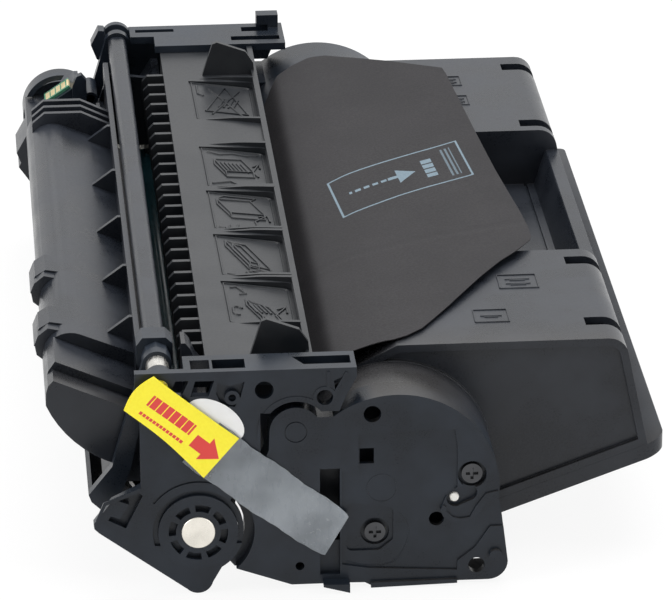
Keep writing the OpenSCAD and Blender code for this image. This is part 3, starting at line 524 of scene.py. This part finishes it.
SHEET_EDGE = [
    (36, 22, 256), (42, 23, 270), (47, 24.5, 275), (53, 26, 279), (59, 27.5, 279), (63, 30, 277), (68, 35.2, 275), (78, 52, 270),
    (89, 71.6, 264), (96.6, 84, 260), (101, 90, 201), (103.7, 94.2, 165), (107.6, 101, 123), (108.2, 104, 112),
]
DRAPE = [(36.6, 36.3), (38.6, 39.4), (40.3, 42.2), (43.5, 43.6), (47, 44.55), (51.5, 45.6), (56, 46.4), (60, 46.62), (70, 46.7), (109, 46.75)]


def follow(points, x, column=1):
    """Height of a line of points at x, eased between them."""
    for a, b in zip(points, points[1:]):
        if x <= b[0]:
            return mix(a[column], b[column], max(0, (x - a[0]) / (b[0] - a[0])))
    return points[-1][column]


def drape(x):
    return sum(follow(DRAPE, x + d) for d in (-1.2, 0, 1.2)) / 3


def light_sheet_shape(s, t):
    x = mix(36.6, 108.2, s)
    y = mix(follow(SHEET_EDGE, x, 1), follow(SHEET_EDGE, x, 2), t)
    lift = 0.5 * sin(y / 31 + x / 19) * min(1, max(0, (x - 52) / 20)) + 0.5 * min(1, max(0, (x - 60) / 20))
    return x, y, drape(x) + 0.35 + lift


def sheet_finish():
    finish = Finish("sheet_paper", (0.012, 0.011, 0.0125), 0.7, Specular_IOR_Level=0.2)
    x, y, _ = finish.where()
    # The printed frame's own places: p along the arrow and q across it, both in millimetres
    p = (x - 49.9) * 1.167 + (y - 160.3) * 0.0948
    q = (x - 49.9) * 0.687 - (y - 160.3) * 0.947 - 16.0
    fibres = finish.noise(1.4, 4, 0.7)
    cloud = finish.noise(0.05, 3)
    ink = finish.noise(2.6, 3, 0.7)
    outer = box_mask(p, q, 0, 54.5, -16, 16)
    inner = box_mask(p, q, 0.8, 53.7, -15.2, 15.2)
    frame_line = outer - inner
    dash = box_mask(p, q, 6, 22, -0.9, 0.9) * (p * 0.28).math("FRACT").over(0.35)
    stem = box_mask(p, q, 22, 26, -1.1, 1.1)
    head = p.over(26) * ((q.abs()) * 1.3 + p).under(33.5)
    block = box_mask(p, q, 37, 41.4, -8, 8) * (q * 0.24).math("FRACT").over(0.22)
    rows = box_mask(p, q, 45.5, 50.5, -12, 12) * (p * 0.55).math("FRACT").over(0.5)
    print_mask = frame_line.larger(dash).larger(stem).larger(head).larger(block).larger(rows * 0.6)
    paper = finish.mix(fibres.ramp(0.25, 0.75), (0.0058, 0.0054, 0.0064), (0.0128, 0.0118, 0.0135))
    paper = finish.mix(cloud.ramp(0.35, 0.7) * 0.35, paper, (0.018, 0.0165, 0.0185))
    finish.set("Base Color", finish.mix(print_mask * ink.ramp(0.2, 0.5, 0.55, 0.85), paper, (0.15, 0.205, 0.245)))
    finish.set("Roughness", fibres.ramp(0.3, 0.7, 0.56, 0.74))
    crease = (x * 0.35 - y * 0.94 + 72).abs().ramp(0, 3.5) * 0.5 + fibres * 0.12
    finish.bump(crease, 0.25)
    return finish


sheet_paper = sheet_finish()
light_sheet = sheet_piece("light_sheet_laid", 96, 120, light_sheet_shape, 0.25)
place_on(light_sheet, sheet_paper, "light_sheet")

# Oval sticker, half under the label


def make_sticker():
    bpy.ops.object.select_all(action="DESELECT")
    bpy.ops.mesh.primitive_circle_add(vertices=72, radius=1, fill_type="NGON", rotation=(pi / 2, 0, 0))
    piece = bpy.context.object
    piece.name = "oval_sticker"
    piece.scale = (9.4 * MM, 5.6 * MM, 1)
    bpy.ops.object.transform_apply(location=False, rotation=False, scale=True)
    piece.rotation_euler = (pi / 2, radians(35), 0)
    piece.location = at(5.2, -0.12, 34.8)
    bpy.ops.object.transform_apply(location=True, rotation=True, scale=True)
    apply_modifier(piece, "SOLIDIFY", thickness=0.14 * MM, offset=0)
    select_only(piece)
    bpy.ops.object.mode_set(mode="EDIT")
    bpy.ops.mesh.select_all(action="SELECT")
    bpy.ops.mesh.normals_make_consistent(inside=False)
    bpy.ops.object.mode_set(mode="OBJECT")
    return piece


place_on(make_sticker(), sticker_paper, "round_sticker")


# Raised lines: plain figures in the comb cover's panels and marks on the hopper cover

COVER_TOP = 46
PANELS = [(47, 81), (85, 120), (124, 158), (161, 198), (223, 261)]


def panel_floor(x):
    return COVER_TOP - 0.2 - 2.0 * (x - 8) / 25


def raised_lines(name, lines, thick, finish, body):
    """Lines of points, made one piece of thin round bars."""
    data = bpy.data.curves.new(name, "CURVE")
    data.dimensions = "3D"
    data.bevel_depth = thick * MM
    data.bevel_resolution = 1
    data.use_fill_caps = True
    for points in lines:
        spline = data.splines.new("POLY")
        spline.points.add(len(points) - 1)
        for point, place in zip(spline.points, points):
            point.co = (*at(*place), 1)
    piece = bpy.data.objects.new(name, data)
    bpy.context.scene.collection.objects.link(piece)
    select_only(piece)
    bpy.ops.object.convert(target="MESH")
    piece = bpy.context.object
    bpy.ops.object.shade_smooth_by_angle(angle=radians(50))
    piece.data.materials.clear()
    piece.data.materials.append(finish.data)
    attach(piece, body)
    return piece


def box_figure(a, b, wide, deep, rise):
    """A plain box seen from above: its top, and its two near sides."""
    top = [(a, b), (a + wide, b + rise), (a + wide + deep * 0.6, b + rise - deep), (a + deep * 0.6, b - deep), (a, b)]
    drop = 0.12
    left = [(a, b), (a, b - drop), (a + deep * 0.6, b - deep - drop), (a + deep * 0.6, b - deep)]
    right = [(a + deep * 0.6, b - deep - drop), (a + wide + deep * 0.6, b + rise - deep - drop), (a + wide + deep * 0.6, b + rise - deep)]
    return [top, left, right]


def arrow_figure(a, b, da, db):
    """A bent arrow from one point by a step."""
    end = (a + da, b + db)
    side = (-db * 0.28, da * 0.28)
    return [
        [(a, b), (a + da * 0.3 + side[0], b + db * 0.3 + side[1]), end],
        [(end[0] - da * 0.3 + side[0], end[1] - db * 0.3 + side[1]), end, (end[0] - da * 0.3 - side[0], end[1] - db * 0.3 - side[1])],
    ]


def ring_figure(a, b, r, start=0, turn=360, points=14):
    return [[(a + r * cos(radians(start + turn * i / points)), b + r * sin(radians(start + turn * i / points))) for i in range(points + 1)]]


def hatch_figure(a, b, wide, high, count):
    return [[(a + wide * i / count, b), (a + wide * i / count + 0.1, b + high)] for i in range(count + 1)]


FIGURES = [
    box_figure(0.32, 0.62, 0.34, 0.34, -0.14) + hatch_figure(0.36, 0.52, 0.26, -0.16, 4) + arrow_figure(0.12, 0.86, 0.22, -0.1)
    + arrow_figure(0.78, 0.2, 0.1, 0.34) + ring_figure(0.18, 0.36, 0.09, 40, 250),
    box_figure(0.16, 0.86, 0.3, 0.5, -0.06) + box_figure(0.26, 0.8, 0.12, 0.36, -0.03) + [[(0.4, 0.2), (0.62, 0.28), (0.86, 0.2), (0.8, 0.1),
        (0.5, 0.08), (0.4, 0.2)]] + ring_figure(0.64, 0.17, 0.05) + [[(0.1, 0.1), (0.24, 0.07)]],
    box_figure(0.14, 0.8, 0.5, 0.3, 0.02) + [[(0.64, 0.82), (0.72, 0.96), (0.24, 0.94), (0.14, 0.8)]] + arrow_figure(0.7, 0.2, 0.16, 0.3)
    + arrow_figure(0.4, 0.22, -0.14, -0.1) + [[(0.1, 0.14), (0.2, 0.1)]],
    box_figure(0.2, 0.72, 0.42, 0.26, 0.04) + hatch_figure(0.24, 0.66, 0.36, -0.18, 6) + [[(0.1, 0.92), (0.3, 0.84), (0.5, 0.94), (0.7, 0.86),
        (0.88, 0.93)]] + [[(0.12, 0.16), (0.4, 0.24), (0.62, 0.12), (0.86, 0.2)]] + arrow_figure(0.84, 0.4, 0.04, 0.3),
    [[(0.3, 0.24), (0.78, 0.84)], [(0.3, 0.84), (0.78, 0.24)], [(0.2, 0.3), (0.86, 0.3), (0.56, 0.92), (0.2, 0.3)]]
    + hatch_figure(0.42, 0.42, 0.22, 0.2, 3) + [[(0.08, 0.9), (0.1, 0.7), (0.2, 0.66)]],
]


def panel_lines():
    lines = []
    for (y0, y1), figures in zip(PANELS, FIGURES):
        for figure in figures:
            points = []
            for a, b in figure:
                a = min(0.97, max(0.03, 0.5 + (a - 0.5) * 1.22))
                b = min(0.97, max(0.03, 0.5 + (b - 0.5) * 1.22))
                x = mix(13.6, 30.6, a)
                y = mix(y0 + 1.2, y1 - 3.2, b) - 3.0 * a
                points.append((x, y, panel_floor(x) + 0.05))
            lines.append(points)
        # Fine rim inside the panel's edge
        rim = [(12.9, y0 + 1.0), (31.6, y0 - 2.8), (31.6, y1 - 5.4), (30.4, y1 - 4.6), (12.4, y1 - 1.8), (12.9, y0 + 1.0)]
        lines.append([(x, y, panel_floor(x) + 0.02) for x, y in rim])
    return lines


raised_lines("panel_relief", panel_lines(), 0.4, cover_plastic, "drum_unit")


def mark_lines():
    """Plain rectangles with bars in them, moulded on the hopper cover."""
    lines = []
    for x, y, wide, high, bars in ((94.6, 66.6, 11.6, 10.6, 2), (94.2, 248.0, 7.4, 8.6, 2), (96.0, 229.0, 6.2, 8.6, 2), (84.5, 40.5, 10, 9.5, 1)):
        z = COVER_TOP + 0.02
        lines.append([(x, y, z), (x + wide, y, z), (x + wide, y + high, z), (x, y + high, z), (x, y, z)])
        for i in range(bars):
            across = y + high * (i + 1) / (bars + 1)
            lines.append([(x + wide * 0.18, across, z), (x + wide * 0.82, across, z)])
            lines.append([(x + wide * 0.3, across - 0.9, z), (x + wide * 0.7, across - 0.9, z)])
    return lines


raised_lines("cover_marks", mark_lines(), 0.32, body_plastic, "toner_unit")


def cap_scribes():
    """Fine moulded rings and an arc on the near end cap's sunken face."""
    ring = [(53.3 + 4.3 * cos(2 * pi * i / 40), 0.68, 11.6 + 4.3 * sin(2 * pi * i / 40)) for i in range(41)]
    arc = [(43, -11.2), (47, -12.4), (53.3, -12.8), (56.6, -11.9), (58.6, -9.9), (60.6, -6), (61.2, -2.4), (60.4, 0.8), (58.5, 3.5)]
    return [ring, [(x, 0.68, z) for x, z in arc]]


raised_lines("cap_relief", cap_scribes(), 0.16, end_plastic, "toner_unit")


def make_cap_rivet():
    bpy.ops.object.select_all(action="DESELECT")
    bpy.ops.mesh.primitive_cylinder_add(vertices=32, radius=1.36 * MM, depth=3 * MM, location=at(74.4, 2.0, 7.9), rotation=(pi / 2, 0, 0))
    piece = bpy.context.object
    piece.name = "cap_rivet"
    bpy.ops.object.transform_apply(location=True, rotation=True, scale=True)
    apply_modifier(piece, "BEVEL", width=0.4 * MM, segments=3, limit_method="ANGLE", angle_limit=radians(40))
    bpy.ops.object.shade_smooth_by_angle(angle=radians(40))
    piece.data.materials.append(nylon.data)
    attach(piece, "toner_unit")


make_cap_rivet()

# Floor, backdrop and light


def white_rays(tree, path):
    """1 for the rays that see the background: from the camera, off gloss and through clear film."""
    seen = path.outputs["Is Camera Ray"]
    for name in ("Is Glossy Ray", "Is Transmission Ray"):
        larger = tree.nodes.new("ShaderNodeMath")
        larger.operation = "MAXIMUM"
        tree.links.new(seen, larger.inputs[0])
        tree.links.new(path.outputs[name], larger.inputs[1])
        seen = larger.outputs[0]
    return seen


def make_stage():
    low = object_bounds()[0]
    bpy.ops.object.select_all(action="DESELECT")
    bpy.ops.mesh.primitive_plane_add(size=12, location=(0, 0, -0.0001))
    floor = bpy.context.object
    floor.name = "floor"
    data = bpy.data.materials.new("floor_white")
    data.use_nodes = True
    tree = data.node_tree
    shader = next(n for n in tree.nodes if n.type == "BSDF_PRINCIPLED")
    shader.inputs["Base Color"].default_value = (0.9, 0.9, 0.9, 1)
    shader.inputs["Roughness"].default_value = 0.9
    shader.inputs["Specular IOR Level"].default_value = 0.0
    out = next(n for n in tree.nodes if n.type == "OUTPUT_MATERIAL")
    path = tree.nodes.new("ShaderNodeLightPath")
    glow = tree.nodes.new("ShaderNodeEmission")
    mix = tree.nodes.new("ShaderNodeMixShader")
    glow.inputs["Color"].default_value = (1, 1, 1, 1)
    seen = tree.nodes.new("ShaderNodeMath")
    seen.operation = "MULTIPLY"
    seen.inputs[1].default_value = 0.9
    tree.links.new(white_rays(tree, path), seen.inputs[0])
    tree.links.new(seen.outputs[0], mix.inputs["Fac"])
    tree.links.new(shader.outputs[0], mix.inputs[1])
    tree.links.new(glow.outputs[0], mix.inputs[2])
    tree.links.new(mix.outputs[0], out.inputs["Surface"])
    floor.data.materials.append(data)

    world = bpy.context.scene.world or bpy.data.worlds.new("world")
    bpy.context.scene.world = world
    world.use_nodes = True
    tree = world.node_tree
    back = next(n for n in tree.nodes if n.type == "BACKGROUND")
    back.inputs["Color"].default_value = (1, 1, 1, 1)
    path = tree.nodes.new("ShaderNodeLightPath")
    strength = tree.nodes.new("ShaderNodeMapRange")
    strength.inputs["To Min"].default_value = 0.36
    strength.inputs["To Max"].default_value = 1.0
    tree.links.new(white_rays(tree, path), strength.inputs["Value"])
    tree.links.new(strength.outputs["Result"], back.inputs["Strength"])


def lamp(name, place, target, size, power, colour=(1, 1, 1)):
    data = bpy.data.lights.new(name, "AREA")
    data.shape = "RECTANGLE"
    data.size, data.size_y = size
    data.energy = power
    data.color = colour
    light = bpy.data.objects.new(name, data)
    bpy.context.scene.collection.objects.link(light)
    light.location = place
    light.rotation_euler = (Vector(target) - Vector(place)).to_track_quat("-Z", "Y").to_euler()


bpy.context.scene.view_settings.view_transform = "Standard"
make_stage()
lamp("overhead", (0.1, 0.35, 1.3), (0, 0.02, 0.03), (1.4, 1.0), 26)
lamp("left_side", (-1.2, -0.4, 0.8), (0, 0, 0.04), (0.9, 0.9), 10)
lamp("right_side", (1.2, -0.3, 0.7), (0, 0, 0.04), (0.8, 0.8), 8)
